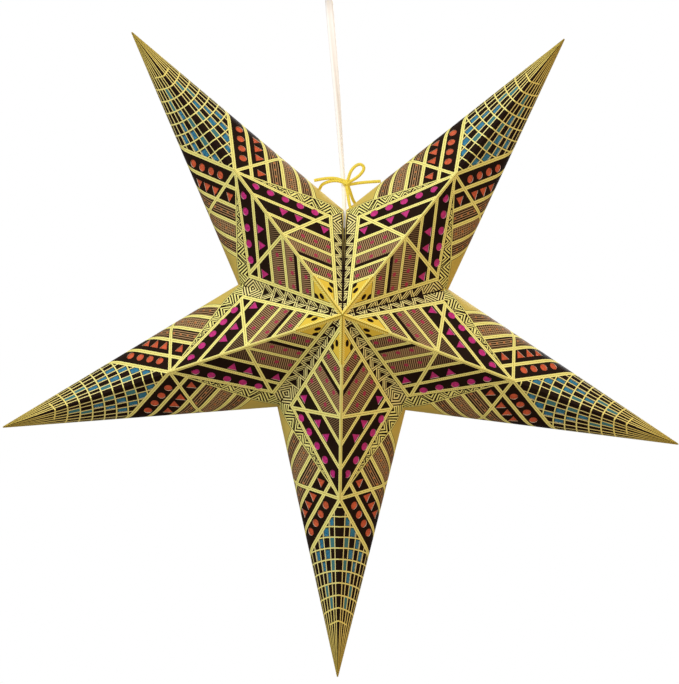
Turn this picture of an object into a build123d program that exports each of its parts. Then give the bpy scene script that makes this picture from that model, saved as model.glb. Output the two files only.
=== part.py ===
"""A hanging paper star lantern. Five hollow card arms, each folded from one sheet, are glued
flap to flap round the star's axis. Their windows are punched right through the card, and
coloured tissue is glued behind them. The star hangs on a lamp holder, whose cord leaves it at
the top seam, where two strings tie the last pair of flaps shut, and ends in a ceiling fitting.

Millimetres. The origin is the middle of the ceiling fitting's face, +Z is up and the star's
front faces -Y. An arm is drawn in its own plane: x runs out along its axis from the star's
centre, y across it and z towards the front. A facet is drawn in the flat: p runs from the tip
along the ridge fold, and q across the card from that fold."""

import os
from math import atan2, ceil, cos, degrees, hypot, radians, sin, sqrt, tan

from build123d import *

# Star
tip_radius = 320.0
half_depth = 92.0
side_half_angle = 16.65  # from an arm's axis to where its front and back facets would meet
round_share = 0.35  # of a facet's width, taken by the rounding of that edge
round_strips = 5
card = 0.5
flap_width = 10.0
arm_directions = {
    "bottom": 270.0,
    "left": 198.6,
    "upper_left": 127.3,
    "upper_right": 52.5,
    "right": -19.7,
}
top_gap = 1.4  # degrees that stay open between the tied flaps at the top

# Windows: round ones, triangles and the cells of a net, all on lines of the printed layout
oval_radius = 3.8
oval_sides = 6
triangle_base = 8.6
triangle_height = 8.2
joint_p = 170.0  # where the kite's point and the tip's net meet on the ridge
kite_band_angle = 43.0
kite_oval_offset = 7.7
kite_oval_start = 21.0
kite_oval_pitch = 14.2
kite_triangle_offset = 24.2
kite_triangle_places = (49.9, 64.3, 89.4)
bar_angle = 31.0
bar_half_width = 2.2
bar_oval_offset = 9.2
bar_oval_start = 17.4
bar_oval_pitch = 11.5
bar_triangle_offset = 25.8
bar_triangle_places = (3.6, 21.8, 32.4, 43.0)
net_columns = (2.4, 5.0, 8.4, 11.2, 14.2)  # degrees from the ridge
net_start = 153.5
net_pitch = 9.0
net_growth = 0.2  # by which each row is longer than the last
net_lean = 0.53  # for each degree from the ridge
net_line = 1.0
net_cells = ((0, 0), (1, 1), (2, 2), (3, 1), (3, 3), (4, 2), (5, 1))  # row, column

# Tissue behind the windows
tissue = 0.2
ridge_clearance = 2.5

# Lamp, hung from its cord inside the star
cord_width = 7.0
cord_thickness = 3.6
notch_clearance = 0.6
seat_clearance = 0.25
cap_top_radius = 5.5
cap_radius = 13.0
cap_slope = 10.0
cap_height = 22.0
holder_radius = 14.5
holder_rim_radius = 16.5
holder_rim = 4.0
holder_height = 30.0
bulb_neck_radius = 10.0
bulb_radius = 17.0
bulb_length = 62.0
bulb_seat_depth = 8.0
turned_sides = 16

# Ceiling fitting
cover_radius = 40.0
cover_height = 26.0
cover_wall = 2.0
cover_chamfer = 10.0
cover_sides = 20
base_thickness = 5.0
screw_spacing = 50.0
screw_radius = 2.25
grip_radius = 6.5
grip_flange_radius = 9.0
grip_flange = 3.0
grip_inside = 4.0
grip_end_radius = 5.0
grip_tail = 7.0
grip_clearance = 0.5
block_length = 20.0
block_width = 14.0
block_height = 10.0

# Tie string
string_diameter = 2.4
string_sides = 5
string_step = 5.0
knot_radius = 3.4
hole_clearance = 0.3

star_centre = Vector(17.5, 0, -326)
reach = 2 * tip_radius

os.makedirs("parts", exist_ok=True)


def save(shape, name):
    """Writes one node's solids to its file."""
    export_step(shape, f"parts/{name}.step")


def whole(parts):
    """Several solids as one node."""
    return Compound(children=list(parts))


# The section of an arm, one unit from its tip
side = tan(radians(side_half_angle))
depth = half_depth / tip_radius
facet_width = hypot(side, depth)
facet_lean = atan2(depth, side)
round_radius = round_share * facet_width * tan(facet_lean)
round_centre = side - round_radius / sin(facet_lean)
round_from = radians(90) - facet_lean
wall_share = (side * depth / facet_width) / sqrt(1 + (side * depth / facet_width) ** 2)
edge_share = round_centre + round_radius


def section(scale):
    """Corners of an arm's section: a front and a back fold, and two rounded sides."""
    steps = [round_from * (1 - 2 * i / round_strips) for i in range(round_strips + 1)]
    right = [
        (round_centre + round_radius * cos(t), round_radius * sin(t)) for t in steps
    ]
    left = [(-y, z) for y, z in reversed(right)]
    corners = [(0, depth), *right, (0, -depth), *left]
    return [(scale * y, scale * z) for y, z in corners]


def pyramid(wall):
    """An arm's outer form, or the form that lies the given wall inside it."""
    tip = Vector(tip_radius - wall / wall_share, 0, 0)
    start = -5.0
    ring = [Vector(start, y, z) for y, z in section(tip.X - start)]
    sides = [
        Face(Wire.make_polygon([a, b, tip])) for a, b in zip(ring, ring[1:] + ring[:1])
    ]
    return Solid(Shell([*sides, Face(Wire.make_polygon(ring))]))


def wedge(seam_left, seam_right, inset=0.0):
    """The slice of space between an arm's two seam planes, or the slice inside it."""
    left = (reach * cos(radians(seam_left)), reach * sin(radians(seam_left)))
    right = (reach * cos(radians(seam_right)), -reach * sin(radians(seam_right)))
    outline = make_face(Polyline((0, 0), left, right, close=True))
    if inset:
        outline = offset(outline, -inset, kind=Kind.INTERSECTION)
    return extrude(outline, half_depth + 10, both=True)


# One facet in the flat, seen from outside
ridge = Vector(-tip_radius, 0, half_depth)
edge = Vector(-1, side, 0)
facet = Plane(
    origin=(tip_radius, 0, 0), x_dir=ridge.normalized(), z_dir=ridge.cross(edge)
)


def along_kite(offset_from_edge, place):
    """A place in the kite: how far in from its outer edge, and how far along that edge."""
    a = radians(kite_band_angle)
    return (
        joint_p + place * cos(a) + offset_from_edge * sin(a),
        place * sin(a) - offset_from_edge * cos(a),
    )


def along_bar(offset_from_bar, place):
    """A place in the orange bands: how far in from the first bar, and how far along it."""
    a = radians(bar_angle)
    return (
        joint_p - place * cos(a) + offset_from_bar * sin(a),
        place * sin(a) + offset_from_bar * cos(a),
    )


def in_net(row, angle):
    """A place in the tip's net, from its row, counted towards the tip, and its angle."""
    rho = net_start - net_pitch * row - net_growth * row**2 - net_lean * angle
    return (rho * cos(radians(angle)), rho * sin(radians(angle)))


def triangle(place, middle, along):
    """A triangular window with its base on the side nearer the band's outer edge."""
    low, high = middle - triangle_height / 2, middle + triangle_height / 2
    ends = (place - triangle_base / 2, place + triangle_base / 2)
    corners = [along(low, ends[0]), along(low, ends[1]), along(high, place)]
    return make_face(Polyline(*corners, close=True))


def net_window(row, column):
    """A window in one cell of the net, up to the bar that ends the net."""
    rows = (row + net_line / net_pitch, row + 1 - net_line / net_pitch)
    turn = degrees(net_line / (net_start - net_pitch * row))
    low, high = net_columns[column] + turn, net_columns[column + 1] - turn
    corners = [
        in_net(rows[0], low),
        in_net(rows[1], low),
        in_net(rows[1], high),
        in_net(rows[0], high),
    ]
    before_bar = [
        along_bar(-bar_half_width, reach),
        along_bar(-bar_half_width, -reach),
        along_bar(-reach, -reach),
        along_bar(-reach, reach),
    ]
    window = make_face(Polyline(*corners, close=True))
    return window & make_face(Polyline(*before_bar, close=True))


def facet_windows():
    """All the windows of one facet, as flat faces."""
    found = []
    for i in range(5):
        x, y = along_kite(kite_oval_offset, kite_oval_start + i * kite_oval_pitch)
        found.append(Pos(x, y) * RegularPolygon(oval_radius, oval_sides))
    for i in range(4):
        x, y = along_bar(bar_oval_offset, bar_oval_start + i * bar_oval_pitch)
        found.append(Pos(x, y) * RegularPolygon(oval_radius, oval_sides))
    for place in kite_triangle_places:
        found.append(triangle(place, kite_triangle_offset, along_kite))
    for place in bar_triangle_places:
        found.append(triangle(place, bar_triangle_offset, along_bar))
    for row, column in net_cells:
        found.append(net_window(row, column))
    return found


def four_ways(shapes):
    """Shapes on one facet, and on the other three."""
    half = list(shapes)
    half += [mirror(s, about=Plane.XZ) for s in half]
    return half + [mirror(s, about=Plane.XY) for s in half]


cutter_depth = 4.0
cutters = four_ways(
    extrude(facet.location * w, cutter_depth, both=True) for w in facet_windows()
)
outer_form = pyramid(0)
inner_form = pyramid(card)
flap_form = pyramid(flap_width)
tissue_form = pyramid(card + tissue)

# Sheets of tissue in the flat
tissue_sheets = {
    "blue": [
        (in_net(6.5, 0)[0], ridge_clearance),
        (joint_p - 12, ridge_clearance),
        along_bar(-1, 10),
        along_bar(-1, 50),
        in_net(4.5, net_columns[-1]),
        in_net(6.5, net_columns[-2]),
    ],
    "orange": [
        along_bar(2, 6),
        along_bar(2, 58),
        along_bar(31, 46),
        along_bar(31, -4),
    ],
    "magenta": [
        along_kite(2.5, 8),
        along_kite(2.5, 86),
        along_kite(33, 96),
        along_kite(33, 40),
    ],
}


def tissue_patches(corners):
    """One sheet of tissue, glued inside each of an arm's four facets."""
    outline = facet.location * make_face(Polyline(*corners, close=True))
    prism = extrude(outline, 30, both=True)
    sheet = (inner_form & prism) - tissue_form
    near = [s for s in sheet.solids() if s.center().Z > 0 and s.center().Y > 0]
    return four_ways(near)


# Seam planes, from the arms' directions
names = list(arm_directions)
seam_left, seam_right = {}, {}
for name, after in zip(names, names[1:] + names[:1]):
    turn = (arm_directions[name] - arm_directions[after]) % 360
    gap = top_gap if name == "upper_left" else 0.0
    seam_right[name] = (turn - gap) / 2
    seam_left[after] = (turn - gap) / 2


def valley(tip, turn):
    """How far out two neighbouring arms with their tips there meet, on the outside."""
    return tip * edge_share / (edge_share * cos(turn) + sin(turn))


top_turn = radians((arm_directions["upper_left"] - arm_directions["upper_right"]) / 2)
valley_radius = valley(tip_radius, top_turn)
flap_foot = valley(tip_radius - flap_width / wall_share, top_turn)
cap_top = flap_foot - seat_clearance


def turned(profile, sides=turned_sides):
    """A turned form with flat sides, from the radius and height of each of its edges."""
    turns = [radians(360 * i / sides) for i in range(sides)]
    rings = [[Vector(r * cos(t), r * sin(t), z) for t in turns] for r, z in profile]
    ends = [Face(Wire.make_polygon(rings[0])), Face(Wire.make_polygon(rings[-1]))]
    bands = [
        Face(Wire.make_polygon([a, b, d, c]))
        for upper, lower in zip(rings, rings[1:])
        for a, b, c, d in zip(upper, upper[1:] + upper[:1], lower, lower[1:] + lower[:1])
    ]
    return Solid(Shell([*ends, *bands]))


def smooth_path(points):
    """Straight runs joined by arcs as large as the runs allow, and the arcs' radii."""
    places = [Vector(p) for p in points]
    runs = [b - a for a, b in zip(places, places[1:])]
    radii = [
        0.45 * min(a.length, b.length) / tan(radians(a.get_angle(b)) / 2)
        for a, b in zip(runs, runs[1:])
    ]
    return FilletPolyline(*places, radius=radii), radii


def string_along(points, radius=string_diameter / 2):
    """A stretch of string, as a tube with flat sides."""
    path, radii = smooth_path(points)
    print("string radii", [round(r, 1) for r in radii])
    count = ceil(path.length / string_step)
    across = Vector(0, 1, 0)
    rings = []
    for i in range(count + 1):
        along = path % (i / count)
        across = (across - along * across.dot(along)).normalized()
        ring = Plane(origin=path @ (i / count), x_dir=across, z_dir=along)
        rings.append(ring * RegularPolygon(radius, string_sides))
    return loft(rings, ruled=True)


# Routes in the star's own place, from its centre
cord_points = [
    (0.0, 0, cap_top),
    (0.0, 0, 106.0),
    (-4.2, 0, 150.0),
    (-9.4, 0, 210.0),
    (-15.3, 0, 267.0),
    (-17.5, 0, 289.0),
    (-17.5, 0, 311.0),
]
knot_centre = Vector(1.2, -5.6, 119.8)
left_strand = [
    (0.0, -5.7, 120.4),
    (-10.0, -5.2, 122.6),
    (-20.6, -1.2, 119.4),
    (-22.6, 9.6, 116.0),
    (-27.4, 14.8, 108.8),
]
left_tail = [
    (0.8, -6.0, 121.6),
    (-13.0, -5.2, 125.4),
    (-27.4, -3.8, 122.0),
]
bow_loop = [
    (2.2, -6.3, 121.0),
    (5.0, -6.6, 131.8),
    (12.6, -6.2, 138.0),
    (17.8, -5.7, 133.8),
    (12.6, -5.3, 126.3),
    (3.0, -5.4, 120.4),
]
right_tail = [
    (2.2, -3.6, 118.6),
    (17.0, -1.6, 121.6),
    (31.7, -2.6, 122.3),
]
front_leg = [
    (1.4, -6.2, 118.2),
    (2.8, -9.2, 108.6),
    (4.3, -12.2, 99.6),
    (6.0, -11.4, 95.4),
]
back_leg = [
    (2.6, -4.9, 118.4),
    (5.6, -1.0, 110.2),
    (7.6, 8.4, 105.5),
    (12.6, 15.0, 99.0),
]

knot = Pos(*knot_centre) * turned(
    [
        (0.4 * knot_radius, knot_radius),
        (knot_radius, 0.4 * knot_radius),
        (knot_radius, -0.4 * knot_radius),
        (0.4 * knot_radius, -knot_radius),
    ],
    8,
)
tied_left = [string_along(p) - knot for p in (left_strand, left_tail, bow_loop)]
tied_right = [string_along(p) - knot for p in (front_leg, back_leg, right_tail)]
string_holes = [
    string_along(p[-3:], string_diameter / 2 + hole_clearance)
    for p in (left_strand, front_leg, back_leg)
]

# Where the cord goes through the top seam
notch_width = cord_width + 2 * notch_clearance
notch_depth = cord_thickness + 2 * notch_clearance
notch_low = flap_foot - flap_width / 2
notch = Pos(0, 0, notch_low) * Box(
    notch_width,
    notch_depth,
    valley_radius + flap_width - notch_low,
    align=(Align.CENTER, Align.CENTER, Align.MIN),
)
star = Location(star_centre)


def arm(name):
    """One arm of card: a hollow spike with a glue flap along both seams."""
    slice_ = wedge(seam_left[name], seam_right[name])
    hollow = inner_form & wedge(seam_left[name], seam_right[name], card)
    return (outer_form & slice_) - hollow - flap_form - cutters


for name, direction in arm_directions.items():
    a = radians(direction)
    place = Plane(origin=(0, 0, 0), x_dir=(cos(a), 0, sin(a)), z_dir=(0, -1, 0)).location
    body = place * arm(name)
    if name in ("upper_left", "upper_right"):
        body = body - notch - string_holes
    save(star * body, f"arm_{name}")
    for colour, corners in tissue_sheets.items():
        save(star * place * whole(tissue_patches(corners)), f"{colour}_tissue_{name}")


def lamp():
    """The cord's cap, the lamp holder and the bulb, one below the other."""
    holder_top = cap_top - cap_height
    holder_foot = holder_top - holder_height
    bulb_top = holder_foot + bulb_seat_depth
    bulb_foot = bulb_top - bulb_length
    cap = turned(
        [
            (cap_top_radius, cap_top),
            (cap_radius, cap_top - cap_slope),
            (cap_radius, holder_top),
        ]
    )
    holder = turned(
        [
            (holder_radius, holder_top),
            (holder_radius, holder_foot + holder_rim),
            (holder_rim_radius, holder_foot + holder_rim),
            (holder_rim_radius, holder_foot),
        ]
    )
    bore_radius = bulb_neck_radius + seat_clearance
    bore = turned([(bore_radius, bulb_top), (bore_radius, holder_foot - 1)])
    bulb = turned(
        [
            (bulb_neck_radius, bulb_top),
            (bulb_neck_radius, holder_foot),
            (bulb_radius, holder_foot - bulb_radius),
            (bulb_radius, bulb_foot + bulb_radius / 2),
            (bulb_radius / 2, bulb_foot),
        ]
    )
    return {"lamp_cap": cap, "lamp_holder": holder - bore, "bulb": bulb}


def ceiling_fitting():
    """The base that is screwed to the ceiling, its terminal block, cover and cord grip."""
    foot = -cover_height
    inside = cover_radius - cover_wall
    cover = turned(
        [
            (cover_radius, 0),
            (cover_radius, foot + cover_chamfer),
            (cover_radius - cover_chamfer, foot),
        ],
        cover_sides,
    )
    hollow = turned(
        [
            (inside, 1),
            (inside, foot + cover_chamfer),
            (inside - cover_chamfer + cover_wall, foot + cover_wall),
        ],
        cover_sides,
    )
    bore_radius = grip_radius + seat_clearance
    bore = turned([(bore_radius, 0), (bore_radius, foot - 1)])
    base_radius = inside - seat_clearance
    base = turned([(base_radius, 0), (base_radius, -base_thickness)], cover_sides)
    screw_holes = [
        Pos(x * screw_spacing / 2, 0, 0) * Cylinder(screw_radius, 3 * base_thickness)
        for x in (-1, 1)
    ]
    block = Pos(0, 0, -base_thickness) * Box(
        block_length, block_width, block_height, align=(Align.CENTER, Align.CENTER, Align.MAX)
    )
    grip = turned(
        [
            (grip_radius, foot + cover_wall + grip_inside),
            (grip_radius, foot),
            (grip_flange_radius, foot),
            (grip_flange_radius, foot - grip_flange),
            (grip_radius, foot - grip_flange),
            (grip_end_radius, foot - grip_flange - grip_tail),
        ]
    )
    slot = Box(cord_width + 2 * grip_clearance, cord_thickness + 2 * grip_clearance, reach)
    return {
        "ceiling_cover": cover - hollow - bore,
        "ceiling_base": base - screw_holes,
        "terminal_block": block,
        "cord_grip": grip - slot,
    }


def flat_cord():
    """The lamp's cord: two conductors side by side, as one flat tube."""
    path, radii = smooth_path(cord_points)
    print("cord radii", [round(r) for r in radii], "length", round(path.length, 1))
    start = Plane(origin=path @ 0, x_dir=(1, 0, 0), z_dir=path % 0)
    outline = Rectangle(cord_width, cord_thickness)
    outline = chamfer(outline.vertices(), 0.3 * cord_thickness)
    return sweep(start * outline, path=path)


save(star * flat_cord(), "lamp_cord")
for name, shape in lamp().items():
    save(star * shape, name)
for name, shape in ceiling_fitting().items():
    save(shape, name)
save(star * knot, "tie_knot")
save(star * whole(tied_left), "tie_string_left")
save(star * whole(tied_right), "tie_string_right")
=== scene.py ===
"""The looks of a hanging paper star lantern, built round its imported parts.

Metres. The origin is the middle of the ceiling fitting's face, +Z is up and the star's front
faces -Y. An arm is shaped in its own place: x runs out from the star's centre along its axis, y
across it and z towards the front. Its print is laid out on the flat card in millimetres: p runs
from the tip along the ridge fold, and q across the card from that fold."""

from bisect import bisect_right
from math import atan2, cos, degrees, hypot, log, pi, radians, sin, sqrt, tan

import bmesh
import bpy
from bpy.props import FloatProperty, FloatVectorProperty, PointerProperty
from mathutils import Matrix, Vector


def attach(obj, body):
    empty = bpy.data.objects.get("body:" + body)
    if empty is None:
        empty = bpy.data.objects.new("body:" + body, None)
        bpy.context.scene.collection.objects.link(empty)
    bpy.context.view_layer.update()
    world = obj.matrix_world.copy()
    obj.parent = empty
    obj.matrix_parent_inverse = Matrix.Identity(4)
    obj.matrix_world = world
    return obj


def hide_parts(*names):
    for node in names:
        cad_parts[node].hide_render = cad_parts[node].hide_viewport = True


bl_info = {
    "name": "Paper Star Lantern",
    "version": (1, 0, 0),
    "blender": (4, 5, 0),
    "location": "3D View > Sidebar > Lantern",
    "description": "Folds, prints, ties and hangs a five-pointed paper star lantern",
    "category": "Object",
}

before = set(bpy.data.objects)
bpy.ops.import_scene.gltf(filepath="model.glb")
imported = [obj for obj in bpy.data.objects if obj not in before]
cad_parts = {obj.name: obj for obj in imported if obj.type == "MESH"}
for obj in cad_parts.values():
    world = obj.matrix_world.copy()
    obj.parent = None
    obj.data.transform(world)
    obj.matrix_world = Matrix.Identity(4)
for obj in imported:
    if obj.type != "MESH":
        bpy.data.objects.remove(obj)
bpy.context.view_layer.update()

MM = 0.001
star_centre = Vector((17.5, 0, -326)) * MM
arm_directions = {
    "bottom": 270.0,
    "left": 198.6,
    "upper_left": 127.3,
    "upper_right": 52.5,
    "right": -19.7,
}
top_gap = 1.4  # degrees left open between the two tied flaps

# An arm's form, in millimetres and degrees
tip_radius = 320.0
half_depth = 92.0
side_half_angle = 16.65
round_share = 0.35  # of a facet's width, rolled round at the side
round_steps = 14
tip_blunt = 2.5
flap_width = 10.0

# The print's lines on the flat card
joint_p = 170.0
kite_edge_angle = 40.0
kite_band_angle = 43.0
strip_angle = 50.3
strip_start = 170.8
bar_angle = 31.0
bar_half_width = 1.65
thin_bar_half_width = 1.5
hairline_half_width = 0.6
keyline = 0.55  # of black on each side of a bar
stitch_share = 0.2  # of a bar's width
stitch_lines = (1.7, 0.62)  # pitch, and the share of it that is inked
kite_corner = (239.5, 60.5)
kite_foot = (320.0, 3.5)
oval_radius = 3.55
oval_steps = 20
kite_ovals = [(7.7, 21.0 + 14.2 * i) for i in range(5)]
kite_triangles = [(24.2, place) for place in (49.9, 64.3, 89.4)]
bar_ovals = [(9.2, 17.4 + 11.5 * i) for i in range(4)]
bar_triangles = [(25.8, place) for place in (3.6, 21.8, 32.4, 43.0)]
triangle_base = 8.6
triangle_height = 8.2
net_start = 153.5
net_pitch = 9.0
net_growth = 0.2
net_lean = 0.53
net_line = 1.0
net_rails = (2.4, 5.0, 8.4, 11.2, 14.2, 17.0, 19.3)  # degrees from the ridge
net_tinted = ((2, 0), (4, 0), (6, 2), (7, 1))  # row, rail
net_cells = ((0, 0), (1, 1), (2, 2), (3, 1), (3, 3), (4, 2), (5, 1))  # row, rail
rung_half_width = 0.5
last_rung = 50.0  # from the tip
rail_half_width = 0.48
widest_rail = 0.7  # degrees each side
net_gold_from = 100.0  # from the tip, where the net's lines begin to turn gold
net_gold_over = 110.0

# The bands beyond the first bar, by their distance from it
band_edges = (0.0, 15.8, 32.0, 46.3, 61.0, 74.3)
hatched_from, checked_from, checked_to, plain_from = band_edges[2:]
band_hatch = (2.1, 0.42)  # pitch, and the share of it that is inked
band_cross = (2.3, 0.35)
band_dots = (8.0, 14.4, 1.15)  # pitch along and across, and radius

# The strip of nested chevrons from the joint to the kite's corner
chevron_growth = 1.245  # from one chevron's length to the next one's
chevron_reach = 82.0  # from the joint to one chevron's point
chevron_pitch = 1.8
chevron_pitch_growth = 0.032
chevron_edge = 0.85  # the outermost line, in pitches
chevron_shift = 0.35

# The strip along the valley: nested lozenges, then a ladder of double lines and hatching
valley_strip_width = 6.9
valley_strip_growth = 0.094
lozenge_middle = 166.6
lozenge_lines = (3.7, 0.5)
lozenges_end = 178.3
ladder_start = 191.9
ladder_pitch = 13.6
ladder_lean = 0.25
ladder_double = 0.22  # share of the pitch that a double line takes
ladder_gap = 0.036
ladder_hatch = (2.0, 0.5)
ladder_hatch_slope = (0.96, 7.86)
ladder_hatch_shift = 1.4
ladder_hatch_half_width = 2.5
seam_half_width = 0.6

# The kite's bars, each by a place at the ridge and one at its other end
middle_bar = ((243.5, 1.0), (239.0, 58.0))
second_bar = ((196.5, 0.0), (252.0, 54.0))
third_bar = ((218.0, 0.0), (263.0, 42.0))
fourth_bar = ((243.5, 1.0), (279.0, 34.0))
fifth_bar = ((268.0, 1.0), (290.0, 22.5))
sixth_bar = ((288.0, 1.0), (301.0, 14.0))
kite_hatch = (1.75, 0.5)
kite_hatch_lean = 0.12
kite_black_width = 5.2
kite_dots = (12.0, 15.9, 1.9)
kite_dots_lean = 0.17
kite_dots_start = (1.3, 33.4)
gold_seeds = ((307.5, 6.0), (303.5, 10.8))
seed_radii = (3.1, 1.8)
ridge_half_width = 1.9
ridge_stitch = (0.5, 0.95)  # from and to, across
rope_from = 290.0
rope_half_width = 3.0
rope_fold = 0.7
rope_lines = (2.0, 0.45)


def cos_sin(angle):
    """The cosine and the sine of an angle in degrees."""
    return cos(radians(angle)), sin(radians(angle))


def along_kite(inward, place):
    """A place in the kite: how far in from its outer edge, and how far along that edge."""
    c, s = cos_sin(kite_band_angle)
    return (joint_p + place * c + inward * s, place * s - inward * c)


def along_bar(outward, place):
    """A place beyond the first bar: how far out from it, and how far along it."""
    c, s = cos_sin(bar_angle)
    return (joint_p - place * c + outward * s, place * s + outward * c)


def from_tip(rho, angle):
    """A place this far from the tip, and so many degrees from the ridge."""
    c, s = cos_sin(angle)
    return (rho * c, rho * s)


def in_net(row, angle):
    """A place in the tip's net, from its row, counted towards the tip, and its angle."""
    rho = net_start - net_pitch * row - net_growth * row**2 - net_lean * angle
    return from_tip(rho, angle)


# The card's section, one unit from the tip
side = tan(radians(side_half_angle))
depth = half_depth / tip_radius
facet_width = hypot(side, depth)
facet_lean = atan2(depth, side)
round_radius = round_share * facet_width * tan(facet_lean)
round_centre = side - round_radius / sin(facet_lean)
round_from = pi / 2 - facet_lean
wall_share = (side * depth / facet_width) / sqrt(1 + (side * depth / facet_width) ** 2)


def rolled(turn):
    """The direction from an arm's tip along the rolled side, one turn round from its middle."""
    return Vector(
        (-1, round_centre + round_radius * cos(turn), round_radius * sin(turn))
    ).normalized()


ridge_line = Vector((-1, 0, depth)).normalized()
facet_end = rolled(round_from)
facet_angle = ridge_line.angle(facet_end)
facet_across = (facet_end - ridge_line * cos(facet_angle)).normalized()
fine_steps = 200
fine_turns = [round_from * (1 - i / fine_steps) for i in range(fine_steps + 1)]
rolled_angles = [facet_angle]
for turn, after in zip(fine_turns, fine_turns[1:]):
    rolled_angles.append(rolled_angles[-1] + rolled(turn).angle(rolled(after)))
side_angle = rolled_angles[-1]


def folded(place):
    """Where a place on the flat card comes when its arm is folded and rolled."""
    rho = hypot(place.x, place.y)
    angle = atan2(place.y, place.x)
    if angle <= facet_angle:
        direction = ridge_line * cos(angle) + facet_across * sin(angle)
    else:
        i = min(bisect_right(rolled_angles, angle), len(rolled_angles) - 1)
        share = (angle - rolled_angles[i - 1]) / (rolled_angles[i] - rolled_angles[i - 1])
        turn = fine_turns[i - 1] + min(share, 1) * (fine_turns[i] - fine_turns[i - 1])
        direction = rolled(turn)
    return Vector((tip_radius * MM, 0, 0)) + direction * rho


# Modelling helpers


def only(piece):
    """Makes one object the only selected one, and the active one."""
    bpy.ops.object.select_all(action="DESELECT")
    piece.select_set(True)
    bpy.context.view_layer.objects.active = piece


def edit(piece):
    """Starts edit mode on one object."""
    only(piece)
    bpy.ops.object.mode_set(mode="EDIT")


def edited():
    """Ends edit mode."""
    bpy.ops.object.mode_set(mode="OBJECT")


def edited_outwards():
    """Ends edit mode with every face turned outwards."""
    bpy.ops.mesh.select_all(action="SELECT")
    bpy.ops.mesh.normals_make_consistent(inside=False)
    edited()


def copy_of(piece):
    """A copy of a piece, and the active object."""
    only(piece)
    bpy.ops.object.duplicate()
    return bpy.context.active_object


def added(operator, **values):
    """A new piece, made by one of the operators that add plain forms."""
    bpy.ops.object.select_all(action="DESELECT")
    operator(**values)
    return bpy.context.active_object


def in_scene(name, data):
    """A new object in the scene."""
    piece = bpy.data.objects.new(name, data)
    bpy.context.scene.collection.objects.link(piece)
    return piece


def pick(kind, test):
    """In edit mode, selects the vertices, edges or faces for which a test holds."""
    bpy.ops.mesh.select_mode(type=kind)
    bpy.ops.mesh.select_all(action="DESELECT")
    data = bpy.context.active_object.data
    mesh = bmesh.from_edit_mesh(data)
    parts = {"VERT": mesh.verts, "EDGE": mesh.edges, "FACE": mesh.faces}[kind]
    for part in parts:
        if test(part):
            part.select_set(True)
    bmesh.update_edit_mesh(data)


def cut(place, normal, **which):
    """In edit mode, cuts what is selected along a plane."""
    bpy.ops.mesh.bisect(plane_co=place, plane_no=Vector(normal).normalized(), **which)


def cut_all(place, normal, **which):
    """In edit mode, cuts everything along a plane."""
    bpy.ops.mesh.select_all(action="SELECT")
    cut(place, normal, **which)


def finished(piece, name, materials):
    """Gives a piece its name and materials, at the origin and untransformed, on the root."""
    only(piece)
    bpy.ops.object.transform_apply(location=True, rotation=True, scale=True)
    piece.name = name
    piece.data.name = name
    if materials:
        piece.data.materials.clear()
    for material in materials:
        piece.data.materials.append(material)
    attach(piece, "root")
    return piece


def apply_modifier(piece, kind, **settings):
    """Adds a modifier with these settings and applies it."""
    only(piece)
    modifier = piece.modifiers.new(kind.title(), kind)
    for name, value in settings.items():
        setattr(modifier, name, value)
    bpy.ops.object.modifier_apply(modifier=modifier.name)


# Shader maths


class Field:
    """A value that varies over a surface, and the sums and tests that are done on it."""

    def __init__(self, finish, socket):
        self.finish = finish
        self.socket = socket

    def math(self, operation, *others):
        """This value and others through a Math node."""
        return self.finish.math(operation, self, *others)

    def __add__(self, other):
        return self.math("ADD", other)

    __radd__ = __add__

    def __sub__(self, other):
        return self.math("SUBTRACT", other)

    def __rsub__(self, other):
        return self.finish.math("SUBTRACT", other, self)

    def __mul__(self, other):
        return self.math("MULTIPLY", other)

    __rmul__ = __mul__

    def __truediv__(self, other):
        return self.math("DIVIDE", other)

    def __rtruediv__(self, other):
        return self.finish.math("DIVIDE", other, self)

    def __mod__(self, other):
        return self.math("FLOORED_MODULO", other)

    def __lt__(self, other):
        return self.math("LESS_THAN", other)

    def __gt__(self, other):
        return self.math("GREATER_THAN", other)

    def __or__(self, other):
        return self.math("MAXIMUM", other)

    def __and__(self, other):
        return self.math("MULTIPLY", other)

    def __abs__(self):
        return self.math("ABSOLUTE")


class Finish:
    """A material, or a world's background, in the making."""

    def __init__(self, name, store="materials"):
        self.material = getattr(bpy.data, store).new(name)
        self.material.use_nodes = True
        self.tree = self.material.node_tree
        self.tree.nodes.clear()

    def node(self, kind, settings=None, sockets=None, output=0):
        """A node with its settings, then its sockets' values or links. Gives one output."""
        node = self.tree.nodes.new("ShaderNode" + kind)
        for name, value in (settings or {}).items():
            setattr(node, name, value)
        for name, value in (sockets or {}).items():
            if isinstance(value, Field):
                self.tree.links.new(value.socket, node.inputs[name])
            else:
                node.inputs[name].default_value = value
        return Field(self, node.outputs[output]) if node.outputs else None

    def math(self, operation, *values):
        """A Math node on values or numbers."""
        return self.node("Math", {"operation": operation}, dict(enumerate(values)))

    def mix(self, share, a, b):
        """Colour a, and colour b where the share is one."""
        return self.node("Mix", {"data_type": "RGBA"}, {0: share, 6: a, 7: b}, output=2)

    def place(self):
        """The place on the object, in metres."""
        return self.node("TexCoord", output="Object")

    def noise(self, scale, detail):
        """Soft noise of so many waves to the metre."""
        sockets = {"Vector": self.place(), "Scale": scale, "Detail": detail}
        return self.node("TexNoise", {}, sockets, output="Fac")

    def bump(self, height, distance):
        """A surface raised by so many metres where the height is one."""
        return self.node("Bump", {}, {"Height": height, "Distance": distance})

    def surface(self, **sockets):
        """Ends the material in a Principled surface with these sockets."""
        named = {name.replace("_", " "): value for name, value in sockets.items()}
        shader = self.node("BsdfPrincipled", {}, named)
        self.node("OutputMaterial", {}, {"Surface": shader})
        return self.material


def shade(colour, share):
    """A colour made darker or lighter."""
    return (*[c * share for c in colour[:3]], 1.0)


# The print


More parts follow.
